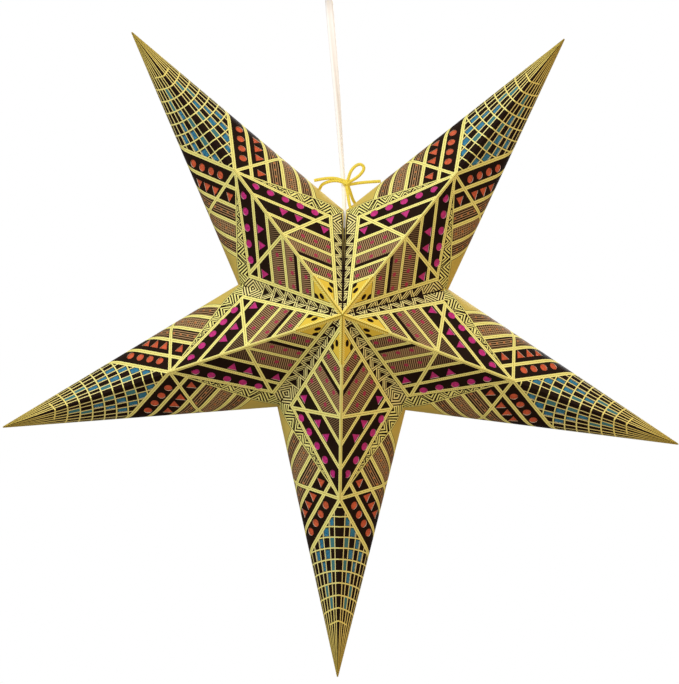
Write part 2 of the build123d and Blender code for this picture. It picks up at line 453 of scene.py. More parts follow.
def wave(value):
    """A zigzag between nought and one: nought at whole numbers, one half way between."""
    return 1 - abs((value % 1.0) * 2 - 1)


def lines(value, pitch, share):
    """Evenly spaced lines that take this share of their pitch."""
    return (value / pitch) % 1.0 < share


def dot_rows(along, across, pitch, spacing, radius):
    """Dots on a lattice, round in the flat."""
    x = (along % pitch) - pitch / 2
    y = (across % spacing) - spacing / 2
    return (x * x + y * y) < radius**2


def towards(start, angle):
    """The ends of a line that leaves the ridge at a place and an angle."""
    c, s = cos_sin(angle)
    return (start, 0), (start + c, s)


class CardPrint(Finish):
    """The print of a quarter of an arm, worked out from each place's p and q on the flat card."""

    def __init__(self, look):
        super().__init__("printed_card")
        self.inks = {name: (*colour, 1) for name, colour in look.items()}
        self.inks["olive"] = shade(look["gold"], 0.5)
        self.inks["dim"] = shade(look["brown"], 0.45)
        self.inks["dark"] = shade(look["brown"], 0.3)
        flat = self.node("Attribute", {"attribute_name": "flat"}, output="Vector")
        self.p = p = self.node("SeparateXYZ", {}, {0: flat}, output="X")
        self.q = q = self.node("SeparateXYZ", {}, {0: flat}, output="Y")
        past_joint = p - joint_p

        # How far the place lies from each family of lines, and how far along it
        c, s = cos_sin(bar_angle)
        self.bar = past_joint * s + q * c
        self.along = q * s - past_joint * c
        c, s = cos_sin(kite_band_angle)
        self.inward = past_joint * s - q * c
        self.down = past_joint * c + q * s
        self.edge = -1 * self.from_line(towards(joint_p, kite_edge_angle))
        self.border = -1 * self.from_line(towards(strip_start, strip_angle))
        self.foot = -1 * self.from_line((kite_corner, kite_foot))
        valley_angle = atan2(kite_corner[1] - kite_foot[1], kite_foot[0] - kite_corner[0])
        self.foot_along = p * cos(valley_angle) - q * sin(valley_angle)
        self.clear = -1 * self.foot - bar_half_width
        strip_width = valley_strip_width + valley_strip_growth * (kite_foot[0] - p)
        self.to_fold = strip_width * cos(valley_angle) - bar_half_width - self.clear
        self.reach = (past_joint * past_joint + q * q).math("SQRT")
        self.turn = q.math("ARCTAN2", past_joint)
        self.middle = self.from_line(middle_bar)

        # Where each part of the print lies
        self.past_bar = self.bar > 0
        self.in_kite = (self.edge > 0) & (self.foot > 0)
        self.past_corner = p > kite_corner[0] + 0.5
        self.past_middle = self.middle < 0

    def from_line(self, ends):
        """How far the place lies from the line through two places, towards larger q."""
        start, end = ends
        angle = atan2(end[1] - start[1], end[0] - start[0])
        held = start[1] * cos(angle) - start[0] * sin(angle)
        return self.q * cos(angle) - self.p * sin(angle) - held

    def lay(self, under, mask, over):
        """One print, and another one over it where the mask is one. Inks go by their names."""
        under, over = [self.inks.get(tone, tone) for tone in (under, over)]
        return self.mix(mask, under, over)

    def bands(self):
        """The bands beyond the first bar: two black, then hatched with dots, then plain gold."""
        hatched = self.bar > hatched_from
        checked = (self.bar > checked_from) & (self.bar < checked_to)
        hatch = lines(self.bar, *band_hatch) | (lines(self.along, *band_cross) & checked)
        dots = dot_rows(self.along, self.bar - hatched_from, *band_dots)
        band = self.lay("ink", hatched & hatch, "brown")
        band = self.lay(band, hatched & dots, "amber")
        return self.lay(band, self.bar > plain_from, "plain")

    def joint_strip(self):
        """Nested chevrons from the joint to the kite's corner, which grow as the strip widens."""
        beyond = self.reach * (self.turn - radians(kite_edge_angle)) - bar_half_width
        wide = self.reach * radians(strip_angle - kite_edge_angle) - bar_half_width
        beat = self.reach.math("LOGARITHM", chevron_growth) - log(chevron_reach, chevron_growth)
        pitch = chevron_pitch + chevron_pitch_growth * self.reach
        nested = (1 - abs(beyond / wide - wave(beat))) * wide / pitch
        inked = (nested < chevron_edge) | lines(nested - chevron_shift, 1.0, 0.5)
        return self.lay("pale", inked, "ink")

    def valley_strip(self):
        """Along the valley: nested lozenges, then double lines with hatching between them."""
        lozenges = abs(self.to_fold) + abs(self.foot_along - lozenge_middle)
        step = self.foot_along + ladder_lean * self.clear - ladder_start
        step = (step / ladder_pitch) % 1.0
        slope, drop = ladder_hatch_slope
        fall = slope * self.clear - drop * step + ladder_hatch_shift
        double = (step < ladder_double) & (abs(step - ladder_double / 2) > ladder_gap)
        hatched = (step > ladder_double) & (abs(fall) < ladder_hatch_half_width)
        ladder = self.lay("ink", double | (hatched & lines(fall, *ladder_hatch)), "white")
        strip = self.lay(
            ladder,
            self.foot_along < lozenges_end,
            self.lay("ink", lines(lozenges, *lozenge_lines), "white"),
        )
        return self.lay(strip, abs(self.to_fold) < seam_half_width, "ink")

    def kite(self):
        """Two black bands with windows, then hatched ones with dots, then gold and its seeds."""
        past_third = self.from_line(third_bar) < 0
        past_fourth = self.from_line(fourth_bar) < 0
        fifth = self.from_line(fifth_bar)
        hatch = lines(self.down + kite_hatch_lean * self.inward, *kite_hatch)
        kite = self.lay("ink", past_third, self.lay("ink", hatch, "brown"))
        dimmed = past_third & (1 - self.past_middle)
        kite = self.lay(kite, dimmed, self.lay("ink", hatch, "dim"))
        fourth_band = past_fourth & (fifth > 0)
        kite = self.lay(kite, fourth_band & (hatch < 0.5), "dark")
        kite = self.lay(kite, fourth_band & (fifth < kite_black_width), "ink")
        along, across = kite_dots_start
        dots = dot_rows(
            self.down - kite_dots_lean * self.inward + along, self.inward - across, *kite_dots
        )
        kite = self.lay(kite, past_third & self.past_middle & dots, "rose")
        kite = self.lay(kite, self.from_line(sixth_bar) < 0, "gold")
        for place in gold_seeds:
            x = (self.p - place[0]) / seed_radii[0]
            y = (self.q - place[1]) / seed_radii[1]
            kite = self.lay(kite, (x * x + y * y) < 1.0, "ink")
        return kite

    def barred(self, colour, bars):
        """Pale bars with black keylines and fine stitches. Each has its distance, field, place
        along it and half width."""
        for distance, field, _, half_width in bars:
            colour = self.lay(colour, field & (abs(distance) < half_width + keyline), "ink")
        for distance, field, along, half_width in bars:
            away = abs(distance)
            stitches = (away < stitch_share * half_width) & lines(along, *stitch_lines)
            colour = self.lay(colour, field & (away < half_width), "pale")
            colour = self.lay(colour, field & stitches, "olive")
        return colour

    def net(self):
        """The tip's net: black and tinted cells between rungs and rails."""
        rho = (self.p * self.p + self.q * self.q).math("SQRT")
        angle = self.q.math("ARCTAN2", self.p) * degrees(1)
        lean = rho + net_lean * angle
        row = (net_pitch**2 + 4 * net_growth * net_start) - 4 * net_growth * lean
        row = (row.math("SQRT") - net_pitch) / (2 * net_growth)
        rung = abs((row + 0.5) % 1.0 - 0.5) < rung_half_width / net_pitch
        rail = abs(angle - net_rails[0])
        for place in net_rails[1:]:
            rail = rail.math("MINIMUM", abs(angle - place))
        rail = rail < (rail_half_width / (rho * radians(1))).math("MINIMUM", widest_rail)
        net = "ink"
        for start, rail_below in net_tinted:
            low, high = net_rails[rail_below : rail_below + 2]
            in_row = abs(row - start - 0.5) < 0.5
            between_rails = abs(angle - (low + high) / 2) < (high - low) / 2
            net = self.lay(net, in_row & between_rails, "teal")
        golden = (net_gold_from - rho) / net_gold_over
        net = self.lay(net, rung & (rho > last_rung), self.lay("pale", golden, "gold"))
        return self.lay(net, rail, self.lay("white", golden, "gold"))

    def all_bars(self):
        """The bars outside the net: distance, field, place along and half width of each."""
        in_bands = self.past_bar & (self.border < 0)
        far_half = self.in_kite & self.past_middle
        wide, thin = bar_half_width, thin_bar_half_width
        before_corner = self.past_bar & (self.past_corner < 0.5)
        bars = [(self.bar - offset, in_bands, self.along, wide) for offset in band_edges]
        bars += [
            (self.p - joint_p, in_bands, self.q, thin),
            (self.border, before_corner, self.reach, hairline_half_width),
            (self.edge, self.past_bar & (self.foot > -2), self.reach, wide),
            (self.foot, self.edge > -2, self.foot_along, wide),
            (self.from_line(second_bar), self.in_kite, self.down, wide),
            (self.from_line(third_bar), self.in_kite, self.down, wide),
            (self.middle, self.in_kite, self.q, wide),
        ]
        for ends in (fourth_bar, fifth_bar, sixth_bar):
            bars.append((self.from_line(ends), far_half, self.down, thin))
        return bars

    def ridge(self, colour):
        """The stitched bar along the ridge, and its cord-like end round the star's centre."""
        ridge = (self.q < ridge_half_width) & (self.p > joint_p - 2)
        low, high = ridge_stitch
        colour = self.lay(colour, ridge, "pale")
        colour = self.lay(colour, ridge & (self.q > low) & (self.q < high), "olive")
        rope = (self.q < rope_half_width) & (self.p > rope_from)
        colour = self.lay(colour, rope, "gold")
        colour = self.lay(colour, rope & lines(self.p + self.q, *rope_lines), "pale")
        return self.lay(colour, rope & (self.q < rope_fold), "olive")

    def colour(self):
        """The whole print."""
        past_fold = self.past_corner & (self.to_fold < -seam_half_width)
        in_strips = ((self.border > 0) | self.past_corner) & (1 - self.in_kite)
        strips = self.lay(self.joint_strip(), self.past_corner, self.valley_strip())
        colour = self.lay(self.bands(), in_strips & (1 - past_fold) & self.past_bar, strips)
        colour = self.lay(colour, self.in_kite, self.kite())
        colour = self.barred(colour, self.all_bars())
        colour = self.lay(colour, self.bar < 0, self.net())
        away = abs(self.bar)
        stitches = (away < stitch_share * bar_half_width) & lines(self.along, *stitch_lines)
        colour = self.lay(colour, away < bar_half_width, "pale")
        colour = self.lay(colour, stitches, "olive")
        return self.ridge(colour)


def printed_card(look):
    """Printed card: the ink lies a little uneven, and the card has fine fibres and soft dents."""
    finish = CardPrint(look)
    colour = finish.colour()
    grain = finish.noise(900.0, 2.0)
    worn = finish.noise(60.0, 4.0)
    faded = finish.mix(0.2, colour, shade(look["pale"], 0.6))
    dents = finish.noise(26.0, 1.0)
    return finish.surface(
        Base_Color=finish.mix(0.018 + 0.084 * worn, colour, faded),
        Roughness=0.5 + 0.16 * worn,
        Normal=finish.bump(grain * 0.04 + dents, 0.0016),
        Specular_IOR_Level=0.02,
    )


def plain_card(look):
    """The card's unprinted inside and its cut edges."""
    finish = Finish("card_inside")
    fibre = finish.noise(1400.0, 4.0)
    cloud = finish.noise(90.0, 2.0)
    bare = look["card_colour"]
    colour = finish.mix(0.25 * fibre + 0.3 * cloud, (*bare, 1), shade(bare, 0.8))
    return finish.surface(
        Base_Color=colour, Roughness=0.75, Normal=finish.bump(fibre, 0.00005)
    )


def tissue_paper(name, colour):
    """Crinkled tissue, darker where its creases and hollows dip as painted shade, with a faint
    painted glow of its own.
    """
    finish = Finish(name)
    place = finish.place()
    crease = finish.node(
        "TexVoronoi",
        {"feature": "DISTANCE_TO_EDGE"},
        {"Vector": place, "Scale": 160.0},
        output="Distance",
    )
    soft = finish.noise(240.0, 3.0)
    fold = (crease * 6).math("MINIMUM", 1.0)
    # Painted shade: the tint is darker where the bump dips, along the creases and in the soft
    # noise's hollows.
    tint = finish.mix(0.5 * fold + 0.35 * soft, shade(colour, 0.72), shade(colour, 1.1))
    return finish.surface(
        Base_Color=tint,
        Roughness=0.6,
        Normal=finish.bump(fold + soft, 0.0004),
        # Painted glow: the tissue gives off a little light of its own, with no lit lamp behind it.
        Emission_Color=tint,
        Emission_Strength=0.02,
    )


def moulded_plastic(name, colour, roughness):
    """Moulded plastic with a faint orange-peel surface and a little dust."""
    finish = Finish(name)
    peel = finish.noise(700.0, 2.0)
    dust = finish.noise(45.0, 5.0)
    tint = finish.mix(0.35 * dust, (*colour, 1), shade(colour, 0.86))
    return finish.surface(
        Base_Color=tint,
        Roughness=roughness + 0.16 * dust,
        Normal=finish.bump(peel, 0.00004),
    )


# Settings


def colour_property(name, description, default):
    """A colour that the user may change."""
    return FloatVectorProperty(
        name=name,
        description=description,
        subtype="COLOR",
        size=3,
        min=0,
        max=1,
        default=default,
    )


class LanternSettings(bpy.types.PropertyGroup):
    """Sizes and colours of the lantern."""

    card: FloatProperty(
        name="Card", description="Thickness of the card", default=0.0005, unit="LENGTH"
    )
    string: FloatProperty(
        name="String", description="Diameter of the tie string", default=0.0028, unit="LENGTH"
    )
    gold: colour_property("Gold", "Ink at the star's centre and its tips", (0.88, 0.66, 0.08))
    plain: colour_property("Old gold", "Plain gold beyond the bands", (0.66, 0.53, 0.13))
    pale: colour_property("Pale gold", "Ink of the bars and the net's rungs", (1.0, 0.98, 0.34))
    white: colour_property("Cream", "Ink of the net's rails and the valleys", (1.0, 0.93, 0.40))
    ink: colour_property("Black", "Black ink", (0.010, 0.002, 0.003))
    teal: colour_property("Teal", "Ink of the net's tinted cells", (0.06, 0.22, 0.25))
    brown: colour_property("Brown", "Lines of the hatching", (0.45, 0.29, 0.15))
    rose: colour_property("Rose", "Dots in the kites", (0.42, 0.05, 0.10))
    amber: colour_property("Amber", "Dots in the bands", (0.48, 0.19, 0.07))
    card_colour: colour_property("Card", "Bare card", (0.80, 0.74, 0.58))
    magenta: colour_property("Magenta", "Magenta tissue", (0.62, 0.012, 0.24))
    orange: colour_property("Orange", "Orange tissue", (0.70, 0.11, 0.03))
    blue: colour_property("Blue", "Blue tissue", (0.015, 0.21, 0.37))
    string_colour: colour_property("String", "Tie string", (1.0, 0.82, 0.10))
    cord_colour: colour_property("Cord", "Cord's jacket", (0.93, 0.93, 0.92))
    plastic: colour_property("Plastic", "Lamp holder and fitting", (0.84, 0.84, 0.82))


def settings():
    """The lantern's settings."""
    return bpy.context.scene.lantern


# The arms


def window_outlines():
    """The corners of every window of one facet, in flat millimetres."""
    found = []
    for spots, along in ((kite_ovals, along_kite), (bar_ovals, along_bar)):
        for spot in spots:
            x, y = along(*spot)
            turns = [2 * pi * i / oval_steps for i in range(oval_steps)]
            found.append(
                [(x + oval_radius * cos(t), y + oval_radius * sin(t)) for t in turns]
            )
    for spots, along in ((kite_triangles, along_kite), (bar_triangles, along_bar)):
        for middle, place in spots:
            low, high = middle - triangle_height / 2, middle + triangle_height / 2
            found.append(
                [
                    along(low, place - triangle_base / 2),
                    along(low, place + triangle_base / 2),
                    along(high, place),
                ]
            )
    for row, rail in net_cells:
        rows = (row + net_line / net_pitch, row + 1 - net_line / net_pitch)
        turn = degrees(net_line / (net_start - net_pitch * row))
        low, high = net_rails[rail] + turn, net_rails[rail + 1] - turn
        corners = [in_net(rows[0], low), in_net(rows[1], low)]
        corners += [in_net(rows[1], high), in_net(rows[0], high)]
        found.append(before_bar(corners))
    return found


def before_bar(corners):
    """The part of an outline that lies on the tip's side of the first bar."""
    c, s = cos_sin(bar_angle)
    heights = [(x - joint_p) * s + y * c + bar_half_width for x, y in corners]
    kept = []
    for i, (x, y) in enumerate(corners):
        if heights[i - 1] * heights[i] < 0:
            share = heights[i - 1] / (heights[i - 1] - heights[i])
            last = corners[i - 1]
            kept.append((last[0] + share * (x - last[0]), last[1] + share * (y - last[1])))
        if heights[i] <= 0:
            kept.append((x, y))
    return kept


def flat_sheet():
    """A quarter of an arm in the flat, with its windows cut out and its rolled side ruled."""
    far = 1.2 * tip_radius * MM
    sheet = added(bpy.ops.mesh.primitive_plane_add, size=far, location=(far / 2, far / 2, 0))
    bpy.ops.object.transform_apply(location=True)
    edit(sheet)
    cut((0, 0, 0), (-sin(side_angle), cos(side_angle), 0), clear_outer=True)
    cut_all((tip_blunt * MM, 0, 0), (1, 0, 0), clear_inner=True)
    bpy.ops.mesh.select_all(action="SELECT")
    bpy.ops.mesh.delete(type="ONLY_FACE")
    for corners in window_outlines():
        bpy.ops.mesh.select_all(action="DESELECT")
        bpy.ops.mesh.primitive_circle_add(vertices=len(corners), radius=MM, fill_type="NOTHING")
        mesh = bmesh.from_edit_mesh(sheet.data)
        ring = [v for v in mesh.verts if v.select]
        for vertex, (x, y) in zip(in_order(ring), corners):
            vertex.co = (x * MM, y * MM, 0)
        bmesh.update_edit_mesh(sheet.data)
    bpy.ops.mesh.select_all(action="SELECT")
    bpy.ops.mesh.fill(use_beauty=True)
    for i in range(round_steps):
        angle = facet_angle + (side_angle - facet_angle) * i / round_steps
        cut_all((0, 0, 0), (-sin(angle), cos(angle), 0))
    edited()
    return sheet


def in_order(ring):
    """The vertices of a loop of edges, each next to the one before."""
    order = [ring[0]]
    while len(order) < len(ring):
        order.append(
            next(
                e.other_vert(order[-1])
                for e in order[-1].link_edges
                if e.other_vert(order[-1]) not in order
            )
        )
    return order


def fold_arm(sheet):
    """Writes each vertex's flat place on it, folds the sheet, and mirrors it to four quarters."""
    flat = sheet.data.attributes.new("flat", "FLOAT_VECTOR", "POINT")
    for vertex, mark in zip(sheet.data.vertices, flat.data):
        mark.vector = (vertex.co.x / MM, vertex.co.y / MM, 0)
        vertex.co = folded(vertex.co)
    apply_modifier(
        sheet, "MIRROR", use_axis=(False, True, True), merge_threshold=0.00002
    )
    edit(sheet)
    # The tip is pinched shut
    pick("VERT", lambda v: v.co.x > (tip_radius - 1.02 * tip_blunt) * MM)
    bpy.ops.mesh.edge_face_add()
    edited()
    face_outwards(sheet)
    return sheet


def face_outwards(piece):
    """Turns an arm's faces away from its axis."""

    def faces_in(face):
        centre = face.calc_center_median()
        return face.normal.dot(Vector((0.3, centre.y, centre.z)).normalized()) < 0

    edit(piece)
    pick("FACE", faces_in)
    bpy.ops.mesh.flip_normals()
    edited()


# Seam planes, from the arms' directions
names = list(arm_directions)
seam_left, seam_right = {}, {}
for name, after in zip(names, names[1:] + names[:1]):
    between = (arm_directions[name] - arm_directions[after]) % 360
    gap = top_gap if name == "upper_left" else 0.0
    seam_right[name] = radians((between - gap) / 2)
    seam_left[after] = radians((between - gap) / 2)


def trim_to_seams(arm, left, right):
    """Cuts an arm along both seam planes and folds a glue flap in along each."""
    left_normal = Vector((-sin(left), cos(left), 0))
    right_normal = Vector((-sin(right), -cos(right), 0))
    edit(arm)
    for normal in (left_normal, right_normal):
        cut_all((0, 0, 0), normal, clear_outer=True)

    def on_seam(vertex):
        away = min(abs(vertex.co.dot(left_normal)), abs(vertex.co.dot(right_normal)))
        return away < 2e-6

    pick("EDGE", lambda e: e.is_boundary and all(on_seam(v) for v in e.verts))
    bpy.ops.mesh.extrude_edges_move()
    share = 1 - flap_width / wall_share / tip_radius
    bpy.ops.transform.resize(value=(share, share, share), center_override=(0, 0, 0))
    pick("FACE", lambda f: all(on_seam(v) for v in f.verts))
    arm.active_material_index = 1
    bpy.ops.object.material_slot_assign()
    edited()


punch_reach = 0.02  # metres, on both sides of the card


def punch(piece, place, axes, outline):
    """Cuts a hole of this outline through a piece, along the third of the given axes."""
    across, up, through = axes
    corners = [place + across * x + up * y for x, y in outline]
    size = max(Vector(c).length for c in outline) * 1.5
    edit(piece)

    def near(face):
        offset = face.calc_center_median() - place
        flat = offset - through * offset.dot(through)
        within = abs(offset.dot(through)) < punch_reach
        return within and flat.length < size + punch_reach

    sides = []
    for start, end in zip(corners, corners[1:] + corners[:1]):
        normal = (end - start).cross(through).normalized()
        sides.append((start, normal))
        pick("FACE", near)
        cut(start, normal)

    def inside(face):
        centre = face.calc_center_median()
        return near(face) and all((centre - s).dot(n) < 0 for s, n in sides)

    pick("FACE", inside)
    bpy.ops.mesh.delete(type="FACE")
    edited()


def arm_place(name):
    """An arm's own place in the frame."""
    c, s = cos_sin(arm_directions[name])
    turned_to = Matrix(((c, -s, 0, 0), (0, 0, -1, 0), (s, c, 0, 0), (0, 0, 0, 1)))
    return Matrix.Translation(star_centre) @ turned_to


# Where the cord goes through the top seam
notch_height = 118.0
notch_axes = (Vector((1, 0, 0)), Vector((0, 1, 0)), Vector((0, 0, 1)))
notch_outline = [(x * MM, y * MM) for x, y in ((-4.1, -2.4), (4.1, -2.4), (4.1, 2.4), (-4.1, 2.4))]


inks = ("gold", "plain", "pale", "white", "ink", "teal", "brown", "rose", "amber")


class FoldArms(bpy.types.Operator):
    """Cut, print, fold and place the five arms of card"""

    bl_idname = "lantern.fold_arms"
    bl_label = "Fold the arms"

    def execute(self, context):
        look = settings()
        palette = {name: tuple(getattr(look, name)) for name in (*inks, "card_colour")}
        printed = printed_card(palette)
        inside = plain_card(palette)
        master = fold_arm(flat_sheet())
        for name in arm_directions:
            arm = copy_of(master)
            arm.data.materials.clear()
            for material in (printed, inside, inside):
                arm.data.materials.append(material)
            trim_to_seams(arm, seam_left[name], seam_right[name])
            arm.matrix_world = arm_place(name)
            finished(arm, f"card_{name}", [])
            if name in ("upper_left", "upper_right"):
                punch(arm, in_star((0, 0, notch_height)), notch_axes, notch_outline)
            apply_modifier(
                arm,
                "SOLIDIFY",
                thickness=look.card,
                offset=-1,
                material_offset=1,
                material_offset_rim=1,
            )
            only(arm)
            bpy.ops.object.shade_smooth_by_angle(angle=radians(25))
            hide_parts(f"arm_{name}")
        bpy.data.objects.remove(master)
        return {"FINISHED"}


tissue_corners = {
    "magenta": [along_kite(*spot) for spot in ((3, 14), (30, 42), (30, 97), (3, 89))],
    "orange": [
        along_bar(*spot) for spot in ((3, 9), (19, -3), (31, -3), (31, 45), (19, 53), (3, 58))
    ],
    "blue": [
        from_tip(*spot) for spot in ((86.0, 1.5), (158.0, 1.5), (120.5, 15.6), (84.0, 15.6))
    ],
}
# In millimetres, but for the number of squares along each side of a sheet
tissue_inset = 0.75
tissue_ridge_gap = 0.8
tissue_squares = 30
tissue_thickness = 0.1
crease_size = 9.0
crease_height = 0.5


def tissue_sheets(corners):
    """An arm's four sheets of one tissue: cut to shape, folded, crinkled and mirrored."""
    across, up = zip(*corners)
    middle = ((max(across) + min(across)) / 2 * MM, (max(up) + min(up)) / 2 * MM, 0)
    size = max(max(across) - min(across), max(up) - min(up)) * MM
    sheet = added(
        bpy.ops.mesh.primitive_grid_add,
        x_subdivisions=tissue_squares,
        y_subdivisions=tissue_squares,
        size=size,
        location=middle,
    )
    bpy.ops.object.transform_apply(location=True)
    edit(sheet)
    for (x, y), (next_x, next_y) in zip(corners, corners[1:] + corners[:1]):
        cut_all((x * MM, y * MM, 0), (next_y - y, x - next_x, 0), clear_outer=True)
    cut_all((0, tissue_ridge_gap * MM, 0), (0, -1, 0), clear_outer=True)
    edited()
    for vertex in sheet.data.vertices:
        vertex.co = folded(vertex.co)
    creases = bpy.data.textures.new("creases", "CLOUDS")
    creases.noise_scale = crease_size * MM
    apply_modifier(sheet, "DISPLACE", strength=tissue_inset * MM, mid_level=0)
    apply_modifier(
        sheet, "DISPLACE", texture=creases, strength=crease_height * MM, mid_level=0.5
    )
    apply_modifier(sheet, "MIRROR", use_axis=(False, True, True))
    apply_modifier(sheet, "SOLIDIFY", thickness=tissue_thickness * MM, offset=0)
    edit(sheet)
    edited_outwards()
    bpy.ops.object.shade_smooth()
    return sheet


class GlueTissue(bpy.types.Operator):
    """Glue sheets of coloured tissue behind the windows"""

    bl_idname = "lantern.glue_tissue"
    bl_label = "Glue the tissue"

    def execute(self, context):
        look = settings()
        for tone, corners in tissue_corners.items():
            paper = tissue_paper(f"{tone}_tissue", tuple(getattr(look, tone)))
            master = tissue_sheets(corners)
            for name in arm_directions:
                sheets = copy_of(master)
                sheets.matrix_world = arm_place(name)
                finished(sheets, f"{tone}_sheets_{name}", [paper])
                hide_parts(f"{tone}_tissue_{name}")
            bpy.data.objects.remove(master)
        return {"FINISHED"}


# Routes in the star's own place, from its centre, in millimetres
cord_points = [
    (0.0, 0, 80.5),
    (0.0, 0, 106.0),
    (-4.2, 0, 150.0),
    (-9.4, 0, 210.0),
    (-15.3, 0, 267.0),
    (-17.5, 0, 289.0),
    (-17.5, 0, 311.0),
]
cord_turns = [90, 90, 75, 40, 10, 0, 0]  # degrees that the flat cord is twisted by
left_string = [
    (-27.4, 14.8, 108.8),
    (-22.6, 9.6, 116.0),
    (-20.6, -1.2, 119.4),
    (-10.0, -5.2, 122.6),
    (0.0, -5.7, 120.4),
    (2.2, -6.3, 121.0),
    (5.0, -6.6, 131.8),
    (12.6, -6.2, 138.0),
    (17.8, -5.7, 133.8),
    (12.6, -5.3, 126.3),
    (3.0, -5.4, 120.4),
    (0.8, -6.0, 121.6),
    (-13.0, -5.2, 125.4),
    (-27.4, -3.8, 122.0),
]
front_string = [
    (6.0, -11.4, 95.4),
    (4.3, -12.2, 99.6),
    (2.8, -9.2, 108.6),
    (1.4, -6.2, 118.2),
    (2.2, -3.6, 118.6),
    (17.0, -1.6, 121.6),
    (31.7, -2.6, 122.3),
]
back_string = [
    (14.4, 17.4, 96.4),
    (12.6, 15.0, 99.0),
    (7.6, 8.4, 105.5),
    (5.6, -1.0, 110.2),
    (2.6, -4.9, 118.4),
    (1.2, -5.6, 119.8),
]
knot_centre = (1.2, -5.6, 119.8)
knot_turns = (((20, 0, 0), 2.0), ((80, 40, 0), 1.8), ((70, -50, 30), 1.9))  # degrees, radius


def in_star(point):
    """A place in the frame, from its place in the star."""
    return star_centre + Vector(point) * MM


def spline_along(name, points, turns=None):
    """A smooth curve with these control points."""
    curve = bpy.data.curves.new(name, "CURVE")
    curve.dimensions = "3D"
    curve.resolution_u = 24
    spline = curve.splines.new("NURBS")
    spline.points.add(len(points) - 1)
    for i, point in enumerate(points):
        spline.points[i].co = (*in_star(point), 1)
        spline.points[i].tilt = radians(turns[i]) if turns else 0
    spline.order_u = 3
    spline.use_endpoint_u = True
    return in_scene(name, curve)


def yarn(look):
    """Twisted cotton string, darker where the twist and fuzz dip as painted shade, with a painted
    glow.
    """
    finish = Finish("yarn")
    place = finish.place()
    twist = finish.node(
        "TexWave",
        {"wave_type": "BANDS", "bands_direction": "DIAGONAL"},
        {"Vector": place, "Scale": 320.0, "Distortion": 2.0, "Detail": 2.0},
        output="Fac",
    )
    fuzz = finish.noise(3000.0, 3.0)
    # Painted shade: darker where the bump dips, in the twist's grooves and the fuzz's hollows.
    tint = finish.mix(0.6 * twist + 0.3 * fuzz, shade(look, 0.72), shade(look, 1.04))
    return finish.surface(
        Base_Color=tint,
        Roughness=0.85,
        Normal=finish.bump(twist + fuzz * 0.4, 0.0003),
        # Painted glow: the string gives off a little light of its own, to show brighter.
        Emission_Color=tint,
        Emission_Strength=0.16,
    )


class TieStrings(bpy.types.Operator):
    """Lay the strings that tie the top seam shut, and their knot"""

    bl_idname = "lantern.tie_strings"
    bl_label = "Tie the strings"

    def execute(self, context):
        look = settings()
        cotton = yarn(tuple(look.string_colour))
        knot = self.knot(look.string)
        finished(knot, "string_knot", [cotton])
        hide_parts("tie_knot")
        runs = [
            ("string_left", left_string, 0.120, "tie_string_left", "bare", ()),
            ("string_front", front_string, 0.0555, "tie_string_right", "bare", ()),
            ("string_back", back_string, 0.036, "tie_string_right", "knot", (knot,)),
        ]
        for name, points, length, node, far_end, with_pieces in runs:
            piece = spline_along(name, points)
            piece.data.bevel_depth = look.string / 2
            piece.data.bevel_resolution = 3
            piece.data.use_fill_caps = True
            piece.data.materials.append(cotton)
            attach(piece, "root")
            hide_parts(node)
            in_star(points[0])
        return {"FINISHED"}

    def knot(self, diameter):
        """Three turns of string drawn tight round each other."""
        turns = []
        for tilt, size in knot_turns:
            ring = added(
                bpy.ops.mesh.primitive_torus_add,
                location=in_star(knot_centre),
                rotation=[radians(t) for t in tilt],
                major_radius=size * MM,
                minor_radius=diameter / 2,
                major_segments=28,
                minor_segments=14,
            )
            turns.append(ring)
        only(turns[0])
        for turn in turns:
            turn.select_set(True)
        bpy.ops.object.join()
        bpy.ops.object.shade_smooth()
        return bpy.context.active_object


# The ceiling cover's wall and the cord grip, by radius and height
cover_outline = [
    (40.0, 0.0), (40.0, -13.0), (39.6, -15.6), (38.4, -18.3), (36.3, -21.0), (33.3, -23.4),
    (29.8, -25.1), (26.4, -25.9), (23.8, -26.0), (9.6, -26.0), (9.2, -25.6), (6.8, -25.6),
    (6.8, -24.0), (23.8, -24.0), (28.6, -23.2), (32.0, -21.6), (34.9, -19.2), (36.9, -16.2),
    (37.8, -13.0), (38.0, 0.0),
]
grip_outline = [
    (0.0, -21.0), (6.5, -21.0), (6.5, -26.1), (8.5, -26.1), (9.0, -26.6), (9.0, -28.3),
    (8.4, -28.9), (6.8, -29.1), (6.5, -29.8), (6.2, -32.0), (5.6, -34.6), (5.0, -35.7),
    (4.2, -36.0), (0.0, -36.0),
]


spin_steps = 96
grip_slot = (7.8, 4.4, 30.0)  # across, through and high
grip_middle = -28.0
core_radius = 1.75
core_turn = 240.0  # degrees of a core's round that show beyond the web
core_steps = 12


def spun(outline):
    """A ring or knob: an outline drawn on a circle's vertices, spun round the upright axis."""
    piece = added(
        bpy.ops.mesh.primitive_circle_add,
        vertices=len(outline),
        radius=MM,
        fill_type="NOTHING",
    )
    edit(piece)
    mesh = bmesh.from_edit_mesh(piece.data)
    for vertex, (r, z) in zip(in_order(list(mesh.verts)), outline):
        vertex.co = (r * MM, 0, z * MM)
    bmesh.update_edit_mesh(piece.data)
    bpy.ops.mesh.select_all(action="SELECT")
    bpy.ops.mesh.spin(steps=spin_steps, angle=2 * pi, center=(0, 0, 0), axis=(0, 0, 1))
    bpy.ops.mesh.select_all(action="SELECT")
    bpy.ops.mesh.remove_doubles(threshold=0.000005)
    pick("EDGE", lambda e: not e.link_faces)
    bpy.ops.mesh.delete(type="EDGE")
    edited_outwards()
    return piece


